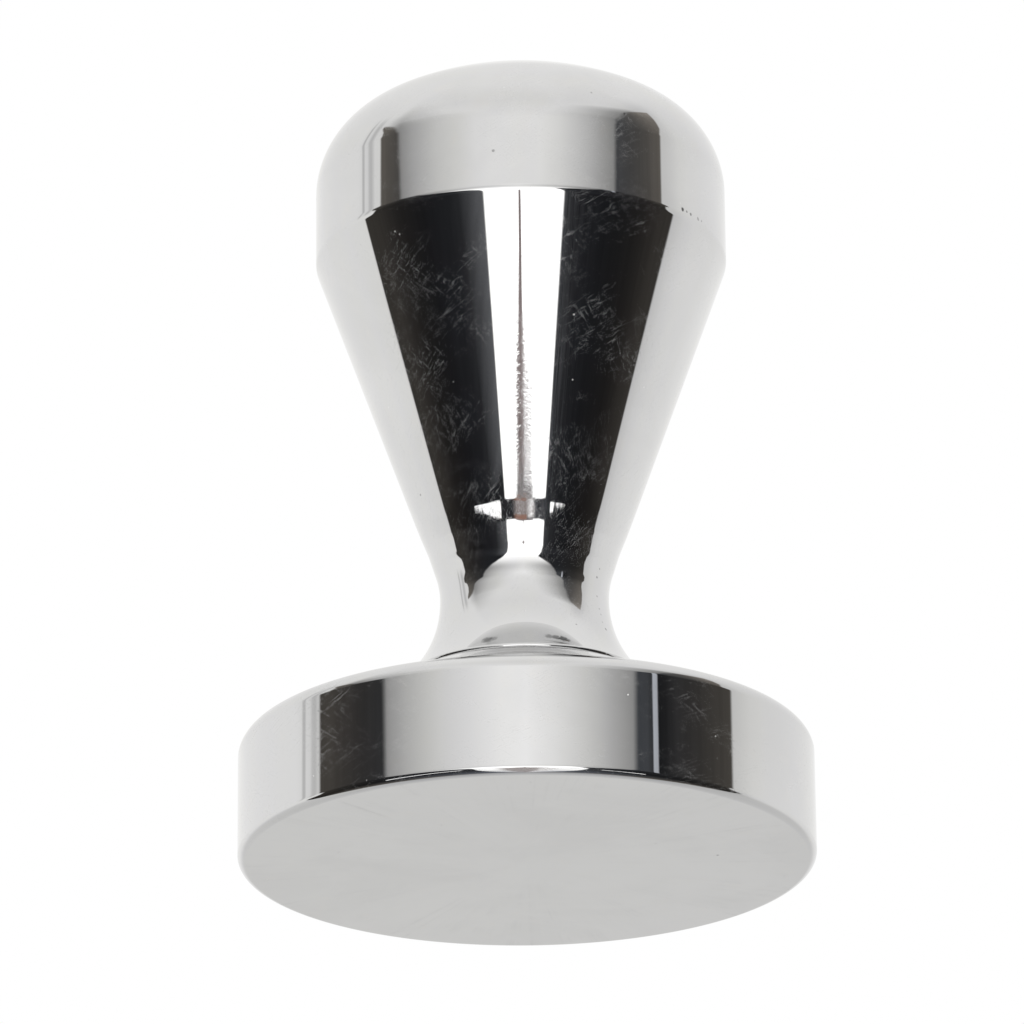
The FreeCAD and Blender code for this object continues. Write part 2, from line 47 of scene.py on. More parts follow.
# ------------------------------------------------------------ node helpers
class Tree:
    """Short words for building a node tree."""

    def __init__(self, tree):
        self.t = tree
        tree.nodes.clear()

    def node(self, kind, **settings):
        n = self.t.nodes.new(kind)
        for k, v in settings.items():
            setattr(n, k, v)
        return n

    def put(self, socket, value):
        if isinstance(value, (int, float)):
            if socket.type == "RGBA":
                socket.default_value = (value, value, value, 1.0)
            elif socket.type == "VECTOR":
                socket.default_value = (value, value, value)
            else:
                socket.default_value = value
        elif isinstance(value, (tuple, list)):
            if socket.type == "RGBA" and len(value) == 3:
                value = tuple(value) + (1.0,)
            socket.default_value = value
        else:
            self.t.links.new(value, socket)

    def math(self, op, a, b=None, c=None, clamp=False):
        n = self.node("ShaderNodeMath", operation=op, use_clamp=clamp)
        for i, v in enumerate((a, b, c)):
            if v is not None:
                self.put(n.inputs[i], v)
        return n.outputs[0]

    def add(self, a, b):
        return self.math("ADD", a, b)

    def sub(self, a, b):
        return self.math("SUBTRACT", a, b)

    def mul(self, a, b):
        return self.math("MULTIPLY", a, b)

    def mx(self, a, b):
        return self.math("MAXIMUM", a, b)

    def mn(self, a, b):
        return self.math("MINIMUM", a, b)

    def step(self, x, lo, hi, out0=0.0, out1=1.0):
        """Smooth step of x from out0 at lo to out1 at hi; lo and hi are numbers and may fall."""
        n = self.node("ShaderNodeMapRange", interpolation_type="SMOOTHSTEP")
        n.clamp = True
        if lo > hi:
            lo, hi, out0, out1 = hi, lo, out1, out0
        self.put(n.inputs["Value"], x)
        self.put(n.inputs["From Min"], lo)
        self.put(n.inputs["From Max"], hi)
        self.put(n.inputs["To Min"], out0)
        self.put(n.inputs["To Max"], out1)
        return n.outputs[0]

    def ramp(self, x, points, interpolation="LINEAR"):
        """points is a list of (place, value) with place in 0..1."""
        n = self.node("ShaderNodeValToRGB")
        n.color_ramp.interpolation = interpolation
        e = n.color_ramp.elements
        while len(e) > 1:
            e.remove(e[-1])
        first = True
        for place, value in points:
            if isinstance(value, (int, float)):
                value = (value, value, value)
            if first:
                e[0].position = place
                e[0].color = tuple(value) + (1.0,)
                first = False
            else:
                k = e.new(place)
                k.color = tuple(value) + (1.0,)
        self.put(n.inputs[0], x)
        return n.outputs[0]

    def table(self, x, lo, hi, points, interpolation="EASE"):
        """A ramp over x in lo..hi; the points' places are in the units of x."""
        t = self.node("ShaderNodeMapRange")
        t.clamp = True
        self.put(t.inputs["Value"], x)
        self.put(t.inputs["From Min"], lo)
        self.put(t.inputs["From Max"], hi)
        return self.ramp(t.outputs[0], [((p - lo) / (hi - lo), v) for p, v in points], interpolation)

    def mix(self, f, a, b, blend="MIX"):
        n = self.node("ShaderNodeMix", data_type="RGBA", blend_type=blend)
        n.clamp_factor = True
        self.put(n.inputs[0], f)
        self.put(n.inputs[6], a)
        self.put(n.inputs[7], b)
        return n.outputs[2]

    def mixf(self, f, a, b):
        n = self.node("ShaderNodeMix", data_type="FLOAT")
        n.clamp_factor = True
        self.put(n.inputs[0], f)
        self.put(n.inputs[2], a)
        self.put(n.inputs[3], b)
        return n.outputs[0]

    def noise(self, vec, scale, detail=2.0, rough=0.5, distortion=0.0, dims="3D", w=None):
        n = self.node("ShaderNodeTexNoise", noise_dimensions=dims)
        if vec is not None:
            self.put(n.inputs["Vector"], vec)
        if w is not None:
            self.put(n.inputs["W"], w)
        self.put(n.inputs["Scale"], scale)
        self.put(n.inputs["Detail"], detail)
        self.put(n.inputs["Roughness"], rough)
        self.put(n.inputs["Distortion"], distortion)
        return n.outputs["Fac"]

    def combine(self, x, y, z):
        n = self.node("ShaderNodeCombineXYZ")
        for i, v in enumerate((x, y, z)):
            self.put(n.inputs[i], v)
        return n.outputs[0]

    def split(self, v):
        n = self.node("ShaderNodeSeparateXYZ")
        self.put(n.inputs[0], v)
        return n.outputs[0], n.outputs[1], n.outputs[2]


def lin(grey):
    """Linear light of an 8-bit display grey."""
    c = grey / 255.0
    return c / 12.92 if c <= 0.04045 else ((c + 0.055) / 1.055) ** 2.4


# ------------------------------------------------------------ the studio
# A light tent: pale all round, with two large black flags in front, a bright
# opening between them where the lens looks in, and a soft overhead panel. Az
# is the angle round the object from the front, positive to the right; el is
# the angle over the horizon. The tables give the flags' edges and the light's
# strength as display greys on polished steel.
METAL = 0.70  # mean reflectance of the polished steel


def g(v):
    return lin(v) / METAL


def studio_world():
    world = bpy.data.worlds.new("light_tent")
    scene.world = world
    world.use_nodes = True
    T = Tree(world.node_tree)
    out = T.node("ShaderNodeOutputWorld")
    coord = T.node("ShaderNodeTexCoord")
    vec = coord.outputs["Generated"]
    x, y, z = T.split(vec)
    az = T.mul(T.math("ARCTAN2", x, T.mul(y, -1.0)), 180.0 / math.pi)
    el = T.mul(T.math("ARCSINE", T.mn(T.mx(z, -1.0), 1.0)), 180.0 / math.pi)
    absaz = T.math("ABSOLUTE", az)
    wob = T.sub(T.noise(vec, 9.0, 4.0, 0.6), 0.5)
    cloud = T.sub(T.noise(vec, 2.3, 3.0, 0.55), 0.5)

    # the tent's walls, by height, then by side
    wall = T.table(el, -90, 90, [(-90, g(150)), (-50, g(182)), (-17, g(191)), (-9, g(206)), (0, g(214)), (25, g(213)), (45, g(213)), (70, g(217)), (90, g(218))], "LINEAR")
    right_side = T.table(az, 84, 180, [(84, 0.74), (89, 0.76), (93, 0.80), (100, 0.89), (108, 0.93), (132, 0.965), (180, 1.0)], "LINEAR")
    left_side = T.table(absaz, 82, 110, [(82, 0.80), (86, 0.92), (89.6, 0.92), (91, 0.78), (92.5, 0.66), (94.0, 0.70), (95.4, 0.90), (97.6, 0.93), (98.5, 0.66), (99.5, 0.66), (100.6, 0.96), (104, 1.0)], "LINEAR")
    left_side = T.mixf(T.step(el, 6.0, 15.0), 1.0, left_side)
    left_side = T.mixf(T.step(el, 44.0, 34.0), 1.0, left_side)
    side = T.mixf(T.step(az, -20.0, 20.0), left_side, T.mixf(T.step(el, 58.0, 40.0), 1.0, right_side))
    wall = T.mix(1.0, wall, T.combine(side, side, side), "MULTIPLY")

    # the opening in front
    front = T.table(el, -90, 90, [(-90, 0.6), (-40, 1.2), (-23, 1.9), (-4, 1.9), (0, g(254)), (4, g(238)), (9, g(224)), (13, g(221)), (17, g(229)), (19.5, g(232)), (22, g(222)), (25, g(217)), (34, g(213)), (47, g(209)), (56, g(211)), (72, g(217)), (90, g(218))], "LINEAR")

    # the flags' edges
    l_in = T.table(el, -30, 40, [(-30, 20.5), (-12, 20.5), (-6, 22), (-1, 27.5), (3, 35), (7, 43), (13, 53), (17, 57), (20, 58.5), (22, 68), (24, 73), (28, 75.5), (31, 79), (33, 84), (34.5, 91), (40, 99)], "LINEAR")
    l_out = T.table(el, -30, 40, [(-30, 95), (-9, 94.5), (-5, 94.5), (-1, 88), (3, 86.5), (11, 85.5), (14, 88), (17, 90), (20.3, 90), (22, 86), (25, 84.5), (28, 85), (32, 88), (36, 88), (40, 88)], "LINEAR")
    r_in = T.table(el, -30, 50, [(-30, 24), (-14, 24), (-6, 22), (-1, 18), (3, 25), (8, 34), (13, 40), (17, 43), (20, 44.5), (22, 53), (24, 55.5), (29, 57), (33, 62), (38, 67), (41, 72), (42.8, 82), (44, 96), (50, 99)], "LINEAR")
    r_out = T.table(el, -30, 50, [(-30, 91), (-5, 91), (-1, 87), (5, 85), (14, 86), (17, 89.3), (20.3, 89.3), (22, 86), (25, 86), (31, 89), (38, 91), (44, 91), (50, 91)], "LINEAR")
    edge = T.table(el, -90, 90, [(-90, 2.0), (-20, 0.7), (-3, 0.9), (6, 2.6), (14, 2.0), (18, 1.5), (26, 1.6), (34, 3.5), (90, 5.0)], "LINEAR")

    def between(a, lo, hi):
        a = T.add(a, T.mul(wob, 1.1))
        e1 = T.step(T.math("DIVIDE", T.sub(a, lo), edge), -1.0, 1.0)
        e2 = T.step(T.math("DIVIDE", T.sub(hi, a), 0.9), -1.0, 1.0)
        return T.mul(e1, e2)

    left = between(T.mul(az, -1.0), l_in, l_out)
    right = between(az, r_in, r_out)

    # the opening darkens towards the flags above the horizon
    base = g(232)
    fall_l = T.table(T.sub(l_in, absaz), -3, 60, [(d, g(v) / base) for d, v in ((-3, 122), (0, 132), (3, 148), (5, 154), (9, 167), (16, 183), (24, 199), (36, 213), (48, 227), (58, 232))], "LINEAR")
    fall_r = T.table(T.sub(r_in, absaz), -3, 60, [(d, g(v) / base) for d, v in ((-3, 122), (0, 132), (5, 150), (9, 162), (15, 181), (23, 200), (33, 219), (44, 232))], "LINEAR")
    fall = T.mixf(T.step(az, -0.5, 0.5), fall_l, fall_r)
    fall = T.mixf(T.mul(T.step(el, 2.0, 12.0), T.step(el, 52.0, 36.0)), 1.0, fall)
    front = T.mix(1.0, front, T.combine(fall, fall, fall), "MULTIPLY")

    # the lower end of the opening, and what shines in under the flags
    low_end = T.sub(T.sub(el, -21.2), T.mul(T.math("POWER", T.mul(absaz, 0.05), 4.0), 0.55))
    low_end = T.step(T.add(low_end, T.mul(wob, 0.5)), -0.22, 0.22)
    low_end = T.mx(low_end, T.step(el, -24.0, -25.0))
    in_front = T.step(absaz, 84.0, 72.0)
    lit = T.mix(in_front, wall, front)

    deep = T.table(el, -90, 90, [(-90, g(120)), (-60, g(70)), (-30, g(34)), (-18, g(26)), (-12, g(27)), (-7, g(37)), (0, g(34)), (10, g(36)), (16, g(46)), (20, g(49)), (22, g(62)), (25, g(72)), (38, g(84)), (44, g(105)), (90, g(120))], "LINEAR")
    sheen = T.mixf(T.step(absaz, 66.0, 92.0), 0.82, 1.55)
    ripple = T.add(1.0, T.mul(T.noise(vec, 30.0, 5.0, 0.7), 0.7))
    k = T.mul(T.mul(sheen, ripple), 0.80)
    panel = T.table(az, 40, 62, [(40, 1.9), (49, 1.75), (51.0, 1.2), (51.5, 14.0), (53.1, 14.0), (53.7, 0.40), (57, 0.55), (62, 1.0)], "LINEAR")
    panel = T.mixf(T.mul(T.step(el, 14.0, 17.5), T.step(el, 22.0, 20.8)), 1.0, panel)
    k = T.mul(k, T.mixf(T.step(az, 30.0, 40.0), 1.0, panel))
    deep = T.mix(1.0, deep, T.combine(k, k, k), "MULTIPLY")
    tint = T.mix(T.step(absaz, 40.0, 86.0), (0.92, 0.99, 1.13), (1.09, 1.0, 0.90))
    deep = T.mix(1.0, deep, tint, "MULTIPLY")

    beside = T.mixf(T.step(az, -1.5, 1.5), T.sub(absaz, l_in), T.sub(absaz, r_in))
    streak = T.noise(T.combine(T.mul(x, 2.2), T.mul(y, 2.2), T.mul(z, 520.0)), 1.0, 3.0, 0.6)
    glow_l = T.table(beside, 0, 34, [(0, 0.15), (3, 0.115), (7, 0.075), (14, 0.016), (20, 0.006), (34, 0.0)], "LINEAR")
    glow_l = T.mul(T.mul(glow_l, T.mixf(T.step(el, -18.6, -17.9), 0.12, 1.0)), T.mixf(T.step(streak, 0.40, 0.62), 0.7, 1.1))
    glow_r = T.table(beside, 0, 24, [(0, 0.13), (3, 0.075), (7, 0.045), (13, 0.016), (24, 0.0)], "LINEAR")
    glow_r = T.mul(glow_r, T.step(T.noise(vec, 120.0, 3.0, 0.7), 0.34, 0.70))
    glow = T.mul(T.mixf(T.step(az, -1.5, 1.5), glow_l, glow_r), T.step(el, -1.0, -6.0))
    deep = T.mix(1.0, deep, T.combine(glow, T.mul(glow, 1.02), T.mul(glow, 1.1)), "ADD")
    lit = T.mix(T.mx(left, right), lit, deep)
    under = T.mul(T.step(absaz, 70.0, 66.0), T.step(el, -10.0, -12.0))
    lit = T.mix(T.mul(under, T.sub(1.0, low_end)), lit, deep)
    # light that slips in under the flags
    torn = T.mul(T.sub(T.noise(T.combine(x, y, T.mul(z, 4.0)), 34.0, 3.0, 0.75), 0.5), 2.2)
    sill_l = T.table(az, -58, -25, [(-58, 20.5), (-56.5, 18.5), (-48, 19.5), (-41, 20.0), (-34, 20.2), (-28, 20.5), (-26.5, 20.7), (-25, 24.5)], "LINEAR")
    sill_r = T.table(az, 29, 50, [(29, 24.0), (30.5, 21.0), (33.5, 21.0), (35, 21.55), (39, 20.9), (44, 20.35), (47, 20.05), (48.5, 22.5), (50, 24.0)], "LINEAR")
    sill_l = T.mixf(T.mul(T.step(az, -59.0, -58.0), T.step(az, -25.0, -26.0)), 60.0, sill_l)
    sill_r = T.mixf(T.mul(T.step(az, 29.0, 30.0), T.step(az, 50.0, 49.0)), 60.0, sill_r)
    sill = T.sub(T.mul(T.mn(sill_l, sill_r), -1.0), T.mx(torn, -0.1))
    slip = T.mul(T.step(T.sub(el, sill), 0.06, -0.06), T.step(el, -24.5, -24.0))
    lit = T.mix(slip, lit, (1.6, 1.6, 1.6))

    # the camera on its stand, in the middle of the opening
    half = T.table(el, -24, -14, [(-24, 12.0), (-21.5, 11.5), (-20.6, 9.5), (-19.4, 8.0), (-18.9, 7.4), (-18.35, 6.6), (-18.1, 4.6), (-17.7, 2.7), (-17.4, 1.3), (-16.9, 0.75), (-15.6, 0.3), (-14, 0.05)], "LINEAR")
    mid = T.table(el, -24, -14, [(-24, 6.0), (-20, 5.7), (-18.9, 6.0), (-18.35, 6.2), (-18.1, 4.8), (-17.7, 3.9), (-17.4, 4.0), (-16.8, 4.4), (-14, 4.4)], "LINEAR")
    curls = T.noise(T.combine(T.mul(az, 0.55), T.mul(el, 20.0), 0.0), 1.0, 2.0, 0.6, 1.3)
    ragged = T.mul(T.sub(curls, 0.5), 6.5)
    away = T.math("DIVIDE", T.math("ABSOLUTE", T.add(T.sub(az, T.sub(mid, 5.0)), T.mul(ragged, T.mul(half, 0.22)))), half)
    stand = T.mul(T.step(away, 1.12, 0.85), T.step(el, -12.0, -14.5))
    holes = T.step(T.noise(T.combine(T.mul(az, 0.6), T.mul(el, 26.0), 4.0), 1.0, 2.0, 0.6, 1.6), 0.44, 0.54)
    holes = T.mixf(T.mul(T.mul(T.step(az, -1.5, 3.0), T.step(el, -17.3, -17.7)), T.step(el, -19.9, -19.3)), 1.0, holes)
    stand = T.mul(stand, holes)
    stand_col = T.mix(T.step(T.noise(vec, 90.0, 4.0, 0.7), 0.42, 0.6), (0.055, 0.045, 0.045), (0.34, 0.31, 0.31))
    stand_col = T.mix(T.mul(T.step(el, -19.2, -18.6), 0.55), stand_col, (0.22, 0.13, 0.12))
    pale = T.mix(T.step(T.noise(vec, 70.0, 4.0, 0.7), 0.44, 0.62), (0.30, 0.25, 0.24), (0.62, 0.60, 0.60))
    pale = T.mix(T.mul(T.step(az, 3.0, 8.0), T.step(T.noise(vec, 110.0, 3.0, 0.7), 0.45, 0.55)), pale, (1.5, 1.5, 1.5))
    stand_col = T.mix(T.step(el, -21.2, -21.8), stand_col, pale)
    rust = T.mul(T.mul(T.step(el, -20.9, -21.2), T.step(el, -22.3, -21.9)), T.step(az, 5.0, 2.0))
    stand_col = T.mix(T.mul(rust, 0.85), stand_col, (0.40, 0.21, 0.15))
    lit = T.mix(T.mul(stand, 0.93), lit, stand_col)

    # slight warm and cool drifts
    drift = T.add(1.0, T.mul(cloud, 0.035))
    lit = T.mix(1.0, lit, T.combine(T.mul(drift, 1.004), drift, T.sub(1.992, drift)), "MULTIPLY")

    lit = T.mix(T.step(el, -52.0, -66.0), lit, T.mix(1.0, lit, (0.982, 0.990, 1.018), "MULTIPLY"))
    path = T.node("ShaderNodeLightPath")
    shown = T.mix(path.outputs["Is Camera Ray"], lit, (1.0, 1.0, 1.0))
    bg = T.node("ShaderNodeBackground")
    T.put(bg.inputs["Color"], shown)
    T.put(bg.inputs["Strength"], 1.0)
    T.t.links.new(bg.outputs[0], out.inputs["Surface"])


studio_world()


# ------------------------------------------------------------ materials
def surface_frame(T):
    """Object-space place in millimetres: (vector, radius, angle, height)."""
    coord = T.node("ShaderNodeTexCoord")
    n = T.node("ShaderNodeVectorMath", operation="SCALE")
    T.put(n.inputs[0], coord.outputs["Object"])
    n.inputs["Scale"].default_value = 1000.0
    v = n.outputs[0]
    x, y, z = T.split(v)
    r = T.math("SQRT", T.add(T.mul(x, x), T.mul(y, y)))
    ang = T.math("ARCTAN2", y, x)
    return v, x, y, z, r, ang


def new_material(name):
    m = bpy.data.materials.new(name)
    m.use_nodes = True
    T = Tree(m.node_tree)
    out = T.node("ShaderNodeOutputMaterial")
    p = T.node("ShaderNodeBsdfPrincipled")
    T.t.links.new(p.outputs[0], out.inputs["Surface"])
    return m, T, p


def polished(name, lathe=0.5, lathe_scale=9.0, haze=0.015, marks=(), tint=(0.70, 0.70, 0.70), lapped=False):
    m, T, p = new_material(name)
    v, x, y, z, r, ang = surface_frame(T)
    # colour: near neutral, with faint stains
    stain = T.noise(v, 0.055, 4.0, 0.6, 0.6)
    stain2 = T.noise(v, 0.4, 3.0, 0.55)
    dark = tuple(c * 0.955 for c in tint)
    warm = (tint[0] * 1.01, tint[1] * 0.995, tint[2] * 0.97)
    col = T.mix(T.step(stain, 0.40, 0.66), tint, dark)
    col = T.mix(T.mul(T.step(stain2, 0.55, 0.75), 0.35), col, warm)
    # micro pits
    pits = T.node("ShaderNodeTexVoronoi", feature="F1")
    T.put(pits.inputs["Vector"], v)
    T.put(pits.inputs["Scale"], 0.34)
    T.put(pits.inputs["Randomness"], 1.0)
    gate = T.step(T.noise(v, 0.09, 2.0, 0.5), 0.60, 0.66)
    pit = T.mul(T.step(pits.outputs["Distance"], 0.075, 0.035), gate)
    col = T.mix(T.mul(pit, 0.85), col, tuple(c * 0.2 for c in tint))
    # a few single dark marks, given as places in millimetres with a radius: nicks and pits on the waist and at the
    # knob, and on the front of the flare a painted dark reflection of the knob's underside
    for mx_, my_, mz_, mr_, strength in marks:
        dx, dy, dz = T.sub(x, mx_), T.sub(y, my_), T.sub(z, mz_)
        d = T.math("SQRT", T.add(T.add(T.mul(dx, dx), T.mul(dy, dy)), T.mul(dz, dz)))
        d = T.add(d, T.mul(T.sub(T.noise(v, 4.0, 2.0, 0.5), 0.5), mr_ * 0.8))
        col = T.mix(T.mul(T.step(d, mr_, mr_ * 0.4), strength), col, tuple(c * 0.1 for c in tint))
    # dust specks and fine crossing scratches
    dust_cells = T.node("ShaderNodeTexVoronoi", feature="F1")
    T.put(dust_cells.inputs["Vector"], v)
    T.put(dust_cells.inputs["Scale"], 0.55)
    T.put(dust_cells.inputs["Randomness"], 1.0)
    dusty = T.step(T.noise(v, 0.13, 3.0, 0.6), 0.50, 0.60)
    dust = T.mul(T.step(dust_cells.outputs["Distance"], 0.060, 0.025), dusty)
    u = T.mul(ang, 13.0)
    one = T.noise(T.combine(T.mul(T.add(T.mul(u, 0.72), T.mul(z, 0.69)), 0.22), T.mul(T.sub(T.mul(z, 0.72), T.mul(u, 0.69)), 1.9), 3.1), 1.0, 2.0, 0.6, 0.3)
    two = T.noise(T.combine(T.mul(T.sub(T.mul(u, 0.55), T.mul(z, 0.83)), 0.25), T.mul(T.add(T.mul(z, 0.55), T.mul(u, 0.83)), 2.2), 7.7), 1.0, 2.0, 0.6, 0.3)
    hair = T.mx(T.step(T.math("ABSOLUTE", T.sub(one, 0.5)), 0.014, 0.004), T.step(T.math("ABSOLUTE", T.sub(two, 0.47)), 0.012, 0.004))
    hair = T.mul(hair, T.step(T.noise(v, 0.17, 3.0, 0.6), 0.42, 0.60))
    col = T.mix(dust, col, (0.80, 0.80, 0.79))
    T.put(p.inputs["Base Color"], col)
    T.put(p.inputs["Metallic"], T.sub(T.sub(1.0, T.mul(dust, 0.85)), T.mul(hair, 0.11)))
    # roughness: polished, with smudges and hairline marks
    rings = T.noise(T.combine(T.mul(x, 0.02), T.mul(y, 0.02), T.add(T.mul(z, lathe_scale), T.mul(r, lathe_scale * 0.7))), 1.0, 3.0, 0.7)
    smudge = T.step(T.noise(v, 0.12, 5.0, 0.62, 0.8), 0.50, 0.72)
    rough = T.add(haze, T.mul(smudge, haze * 0.9))
    rough = T.add(rough, T.mul(T.sub(rings, 0.5), haze * lathe * 1.2))
    rough = T.add(rough, T.add(T.mul(dust, 0.5), T.mul(hair, 0.10)))
    T.put(p.inputs["Roughness"], T.mx(rough, 0.008))
    # bump: polishing waves, fine scratches and lathe lines
    wave = T.noise(v, 0.16, 2.0, 0.5)
    scr = T.noise(T.combine(T.mul(ang, 14.0), T.mul(ang, 3.0), T.mul(z, 2.6)), 1.0, 6.0, 0.75, 0.4)
    height = T.add(T.mul(wave, 0.0022), T.mul(rings, 0.0003 * lathe))
    height = T.add(height, T.mul(scr, 0.00022))
    height = T.sub(height, T.mul(pit, 0.004))
    if marks:
        # the front of the cone is scuffed where it was held for polishing
        here = T.mul(T.step(T.math("ABSOLUTE", T.add(ang, 1.552)), 0.125, 0.075), T.mul(T.step(z, 54.0, 45.0), T.step(z, 33.6, 34.2)))
        scuff = T.noise(T.combine(T.mul(x, 1.5), T.mul(y, 1.5), T.mul(z, 1.7)), 1.0, 2.0, 0.55, 0.8)
        height = T.add(height, T.mul(T.mul(scuff, 0.0042), here))
    if lapped:
        cross = T.noise(T.combine(T.mul(x, 4.0), T.mul(y, 0.16), T.mul(z, 0.1)), 1.0, 5.0, 0.7, 0.5)
        height = T.add(height, T.mul(T.mul(cross, 0.0012), T.step(z, 0.6, 0.2)))
    b = T.node("ShaderNodeBump")
    b.inputs["Strength"].default_value = 1.0
    b.inputs["Distance"].default_value = 0.001
    T.put(b.inputs["Height"], height)
    T.put(p.inputs["Normal"], b.outputs[0])
    return m


# small dark marks: nicks and pits on the waist and the knob's lower edge; the first six, on the front of the flare,
# are painted shade that stands in for the knob's dark reflection
NICKS_AND_PAINTED_REFLECTIONS = (
    (-3.80, -10.81, 19.94, 0.75, 0.62),
    (-3.10, -10.94, 20.05, 0.45, 0.35),
    (2.37, -10.98, 20.22, 0.50, 0.50),
    (3.07, -10.87, 20.13, 0.55, 0.62),
    (3.77, -10.74, 20.04, 0.60, 0.80),
    (4.26, -10.66, 19.91, 0.35, 0.50),
    (7.60, -4.37, 29.70, 0.13, 0.5), (7.32, -4.56, 28.74, 0.16, 0.6), (7.29, -4.62, 26.68, 0.13, 0.5),
    (7.51, -4.67, 25.31, 0.14, 0.5), (7.67, -4.68, 24.70, 0.13, 0.5), (7.79, -5.03, 23.76, 0.12, 0.45),
    (8.14, -5.06, 22.99, 0.20, 0.75), (5.14, -8.43, 22.35, 0.13, 0.5),
    (16.45, -13.38, 65.20, 0.30, 0.95), (16.88, -12.84, 65.17, 0.17, 0.6), (17.28, -12.26, 65.12, 0.22, 0.7),
    (18.05, -11.12, 65.10, 0.26, 0.45), (18.42, -10.50, 65.10, 0.16, 0.4),
)
chrome = polished("mirror_polished_steel", marks=NICKS_AND_PAINTED_REFLECTIONS)
steel = polished("polished_base_steel", lathe=0.6, lapped=True)


def stud_material():
    m, T, p = new_material("rolled_thread_steel")
    v, x, y, z, r, ang = surface_frame(T)
    n = T.noise(v, 1.4, 4.0, 0.6)
    col = T.mix(n, (0.36, 0.36, 0.355), (0.55, 0.55, 0.545))
    oil = T.step(T.noise(v, 0.35, 3.0, 0.5), 0.5, 0.7)
    col = T.mix(T.mul(oil, 0.5), col, (0.26, 0.25, 0.235))
    T.put(p.inputs["Base Color"], col)
    p.inputs["Metallic"].default_value = 1.0
    T.put(p.inputs["Roughness"], T.add(0.24, T.mul(n, 0.16)))
    b = T.node("ShaderNodeBump")
    b.inputs["Strength"].default_value = 0.6
    b.inputs["Distance"].default_value = 0.001
    T.put(b.inputs["Height"], T.mul(T.noise(v, 6.0, 3.0, 0.6), 0.01))
    T.put(p.inputs["Normal"], b.outputs[0])
    return m


def nylon_material():
    m, T, p = new_material("black_nylon")
    v, x, y, z, r, ang = surface_frame(T)
    n = T.noise(v, 2.2, 4.0, 0.6)
    T.put(p.inputs["Base Color"], T.mix(n, (0.012, 0.012, 0.013), (0.035, 0.035, 0.036)))
    T.put(p.inputs["Roughness"], T.add(0.45, T.mul(n, 0.2)))
    b = T.node("ShaderNodeBump")
    b.inputs["Strength"].default_value = 0.5
    b.inputs["Distance"].default_value = 0.001
    T.put(b.inputs["Height"], T.mul(T.noise(v, 5.0, 2.0, 0.5), 0.02))
    T.put(p.inputs["Normal"], b.outputs[0])
    return m


def dress(node, material):
    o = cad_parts[node]
    o.data.materials.clear()
    o.data.materials.append(material)
    for poly in o.data.polygons:
        poly.material_index = 0
    return o


dress("threaded_stud", stud_material())
dress("seam_washer", nylon_material())


# ------------------------------------------------------------ turned pieces
# The outside of the base and of the handle is swept again from the same arcs
# and lines at a finer step, because a mirror finish shows every facet. The
# tapped holes are taken over from the frame as they are.
AROUND = 288


def sweep_arc(centre, radius, a0, a1, step):
    n = max(2, int(math.ceil(abs(a1 - a0) / step)))
    return [(centre[0] + radius * math.cos(a0 + (a1 - a0) * i / n), centre[1] + radius * math.sin(a0 + (a1 - a0) * i / n)) for i in range(n + 1)]


def straight(p, q, stops=(0.0, 0.01, 0.04, 0.12, 0.3, 0.5, 0.7, 0.88, 0.96, 0.99, 1.0)):
    return [(p[0] + (q[0] - p[0]) * t, p[1] + (q[1] - p[1]) * t) for t in stops]


FLARE, WAIST, WAIST_UP, NECK = 12.25, 8.58, 27.83, 9.5
HUB, FOOT = 18.41, 18.71
BAND, BAND_LOW, BAND_HIGH, KNOB = 21.2, 64.9, 72.33, 2.0
SHOULDER, TOP = 9.26, 84.8
deg = math.radians


